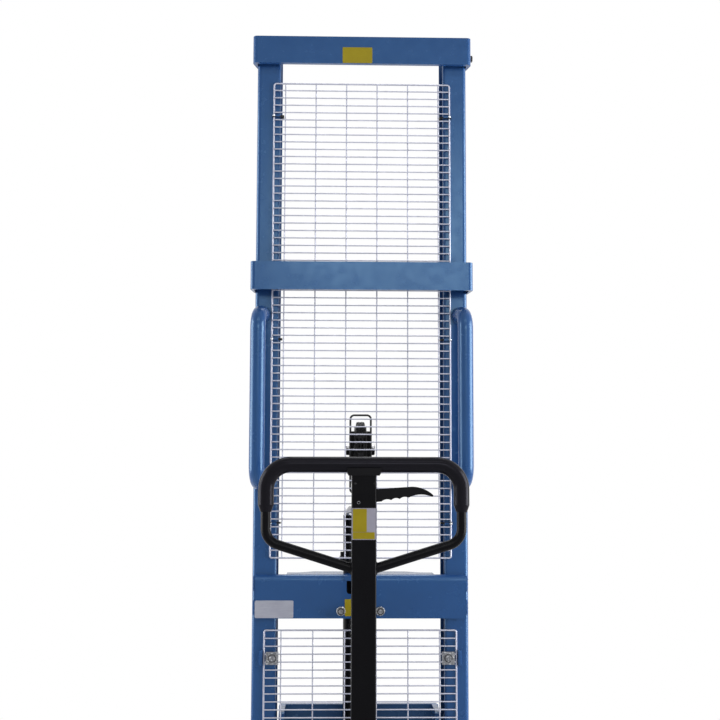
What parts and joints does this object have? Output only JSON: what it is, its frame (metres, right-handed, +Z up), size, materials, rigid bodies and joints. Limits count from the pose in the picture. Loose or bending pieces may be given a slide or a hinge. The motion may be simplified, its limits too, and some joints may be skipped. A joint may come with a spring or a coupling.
{
  "type": "hand pallet stacker",
  "caption": "Manual hydraulic pallet stacker: channel mast with wire guards, straddle legs, lifting fork carriage on a chain, and a steered hand pump with a loop tiller.",
  "frame": {"origin": "on the floor, under the middle of the whole length and width", "axes": "+Z up, +Y towards the fork tips, +X to the operator's right"},
  "size_m": [0.55, 1.672, 1.98],
  "materials": {
    "blue_paint": "semi-gloss blue enamel",
    "black_paint": "satin black paint",
    "black_steel": "blackened steel",
    "zinc_wire": "zinc plated wire",
    "zinc_steel": "zinc plated",
    "bright_steel": "turned steel",
    "chain_steel": "oiled chain",
    "chrome_rod": "hard chrome",
    "cast_black": "painted casting",
    "cast_hub": "die cast",
    "tread": "hard rubber",
    "nylon": "cast nylon",
    "grip_rubber": "smooth moulded grip",
    "black_plastic": "moulded"
  },
  "bodies": {
    "frame": {"mast_left": "blue_paint", "mast_right": "blue_paint", "top_beam": "blue_paint", "mid_beam": "blue_paint", "cross_member": "blue_paint", "base_plate": "blue_paint", "steering_head": "blue_paint", "leg_left": "blue_paint", "leg_right": "blue_paint", "push_handle_left": "blue_paint", "push_handle_right": "blue_paint", "upper_guard": "zinc_wire", "lower_guard": "zinc_wire", "guard_clips": "chain_steel", "guard_clamps": "zinc_steel", "cylinder_barrel": "black_paint", "cylinder_gland": "bright_steel", "cylinder_clamp": "zinc_steel", "cylinder_saddle": "blue_paint", "rear_chain_anchor": "blue_paint", "chain_rear": "chain_steel", "load_roller_axles": "bright_steel"},
    "ram": {"ram_rod": "chrome_rod", "ram_head": "black_paint", "pulley_pin": "bright_steel", "pulley_guard": "black_steel", "chain_wrap": "chain_steel"},
    "pulley": {"chain_pulley": "cast_black"},
    "carriage": {"carriage_frame": "blue_paint", "fork_left": "blue_paint", "fork_right": "blue_paint", "chain_front": "chain_steel"},
    "mast_roller_a": {"mast_roller_low_left": "bright_steel"},
    "mast_roller_b": {"mast_roller_low_right": "bright_steel"},
    "mast_roller_c": {"mast_roller_high_left": "bright_steel"},
    "mast_roller_d": {"mast_roller_high_right": "bright_steel"},
    "load_wheel_left": {"load_roller_left": "nylon"},
    "load_wheel_right": {"load_roller_right": "nylon"},
    "steering": {"king_pin": "bright_steel", "wheel_fork": "cast_black", "thrust_bearing": "bright_steel", "pump_body": "cast_black", "wheel_axle": "bright_steel", "tiller_pivot_pin": "bright_steel", "plunger_spring": "bright_steel"},
    "steer_wheel_left": {"steer_hub_left": "cast_hub", "steer_tyre_left": "tread"},
    "steer_wheel_right": {"steer_hub_right": "cast_hub", "steer_tyre_right": "tread"},
    "plunger": {"pump_plunger": "bright_steel"},
    "tiller": {"tiller_base": "cast_black", "tiller_column": "black_paint", "tiller_loop": "black_paint", "tiller_grip": "grip_rubber", "tiller_collar": "black_plastic", "tiller_pins": "black_paint"},
    "press_roller": {"pressure_roller": "bright_steel"},
    "lever": {"release_lever": "black_plastic"},
    "rod": {"release_rod": "bright_steel"}
  },
  "joints": [
    {"name": "fork_lift", "type": "slide", "parent": "frame", "child": "carriage", "axis": [0, 0, 1], "range_m": [0, 1.515], "deforming": ["chain_front"]},
    {"name": "ram_lift", "type": "slide", "parent": "frame", "child": "ram", "axis": [0, 0, 1], "range_m": [0, 0.758], "deforming": ["chain_rear"]},
    {"name": "pulley_spin", "type": "hinge", "parent": "ram", "child": "pulley", "pos_m": [0, -0.41, 1.038], "axis": [1, 0, 0], "range_deg": [0, 763.4]},
    {"name": "roller_spin_a", "type": "hinge", "parent": "carriage", "child": "mast_roller_a", "pos_m": [-0.208, -0.421, 0.15], "axis": [1, 0, 0], "continuous": true},
    {"name": "roller_spin_b", "type": "hinge", "parent": "carriage", "child": "mast_roller_b", "pos_m": [0.208, -0.421, 0.15], "axis": [1, 0, 0], "continuous": true},
    {"name": "roller_spin_c", "type": "hinge", "parent": "carriage", "child": "mast_roller_c", "pos_m": [-0.208, -0.421, 0.41], "axis": [1, 0, 0], "continuous": true},
    {"name": "roller_spin_d", "type": "hinge", "parent": "carriage", "child": "mast_roller_d", "pos_m": [0.208, -0.421, 0.41], "axis": [1, 0, 0], "continuous": true},
    {"name": "load_spin_left", "type": "hinge", "parent": "frame", "child": "load_wheel_left", "pos_m": [-0.195, 0.671, 0.038], "axis": [1, 0, 0], "continuous": true},
    {"name": "load_spin_right", "type": "hinge", "parent": "frame", "child": "load_wheel_right", "pos_m": [0.195, 0.671, 0.038], "axis": [1, 0, 0], "continuous": true},
    {"name": "steer_swivel", "type": "hinge", "parent": "frame", "child": "steering", "pos_m": [0, -0.746, 0.1883], "axis": [0, 0, 1], "range_deg": [-90, 90]},
    {"name": "steer_spin_left", "type": "hinge", "parent": "steering", "child": "steer_wheel_left", "pos_m": [-0.046, -0.746, 0.09], "axis": [1, 0, 0], "continuous": true},
    {"name": "steer_spin_right", "type": "hinge", "parent": "steering", "child": "steer_wheel_right", "pos_m": [0.046, -0.746, 0.09], "axis": [1, 0, 0], "continuous": true},
    {"name": "tiller_pump", "type": "hinge", "parent": "steering", "child": "tiller", "pos_m": [0, -0.748, 0.3734], "axis": [1, 0, 0], "range_deg": [0, 70], "stiffness_Nm_per_rad": 30, "springref_deg": -20.05},
    {"name": "plunger_stroke", "type": "slide", "parent": "steering", "child": "plunger", "axis": [0, 0, -1], "range_m": [0, 0.0402], "deforming": ["plunger_spring"]},
    {"name": "press_roller_spin", "type": "hinge", "parent": "tiller", "child": "press_roller", "pos_m": [0, -0.77585, 0.3929], "axis": [1, 0, 0], "continuous": true},
    {"name": "lever_squeeze", "type": "hinge", "parent": "tiller", "child": "lever", "pos_m": [0.014, -0.748, 0.94], "axis": [0, -1, 0], "range_deg": [-10, 12], "stiffness_Nm_per_rad": 2},
    {"name": "rod_pull", "type": "slide", "parent": "tiller", "child": "rod", "axis": [0, 0, -1], "range_m": [-0.0026, 0.0031]}
  ],
  "couplings": [
    {"joint": "ram_lift", "follows": "fork_lift", "ratio": 0.5},
    {"joint": "pulley_spin", "follows": "fork_lift", "rad_per_m": 8.772},
    {"joint": "plunger_stroke", "follows": "tiller_pump", "m_per_rad": 0.03266},
    {"joint": "rod_pull", "follows": "lever_squeeze", "m_per_rad": 0.014}
  ]
}
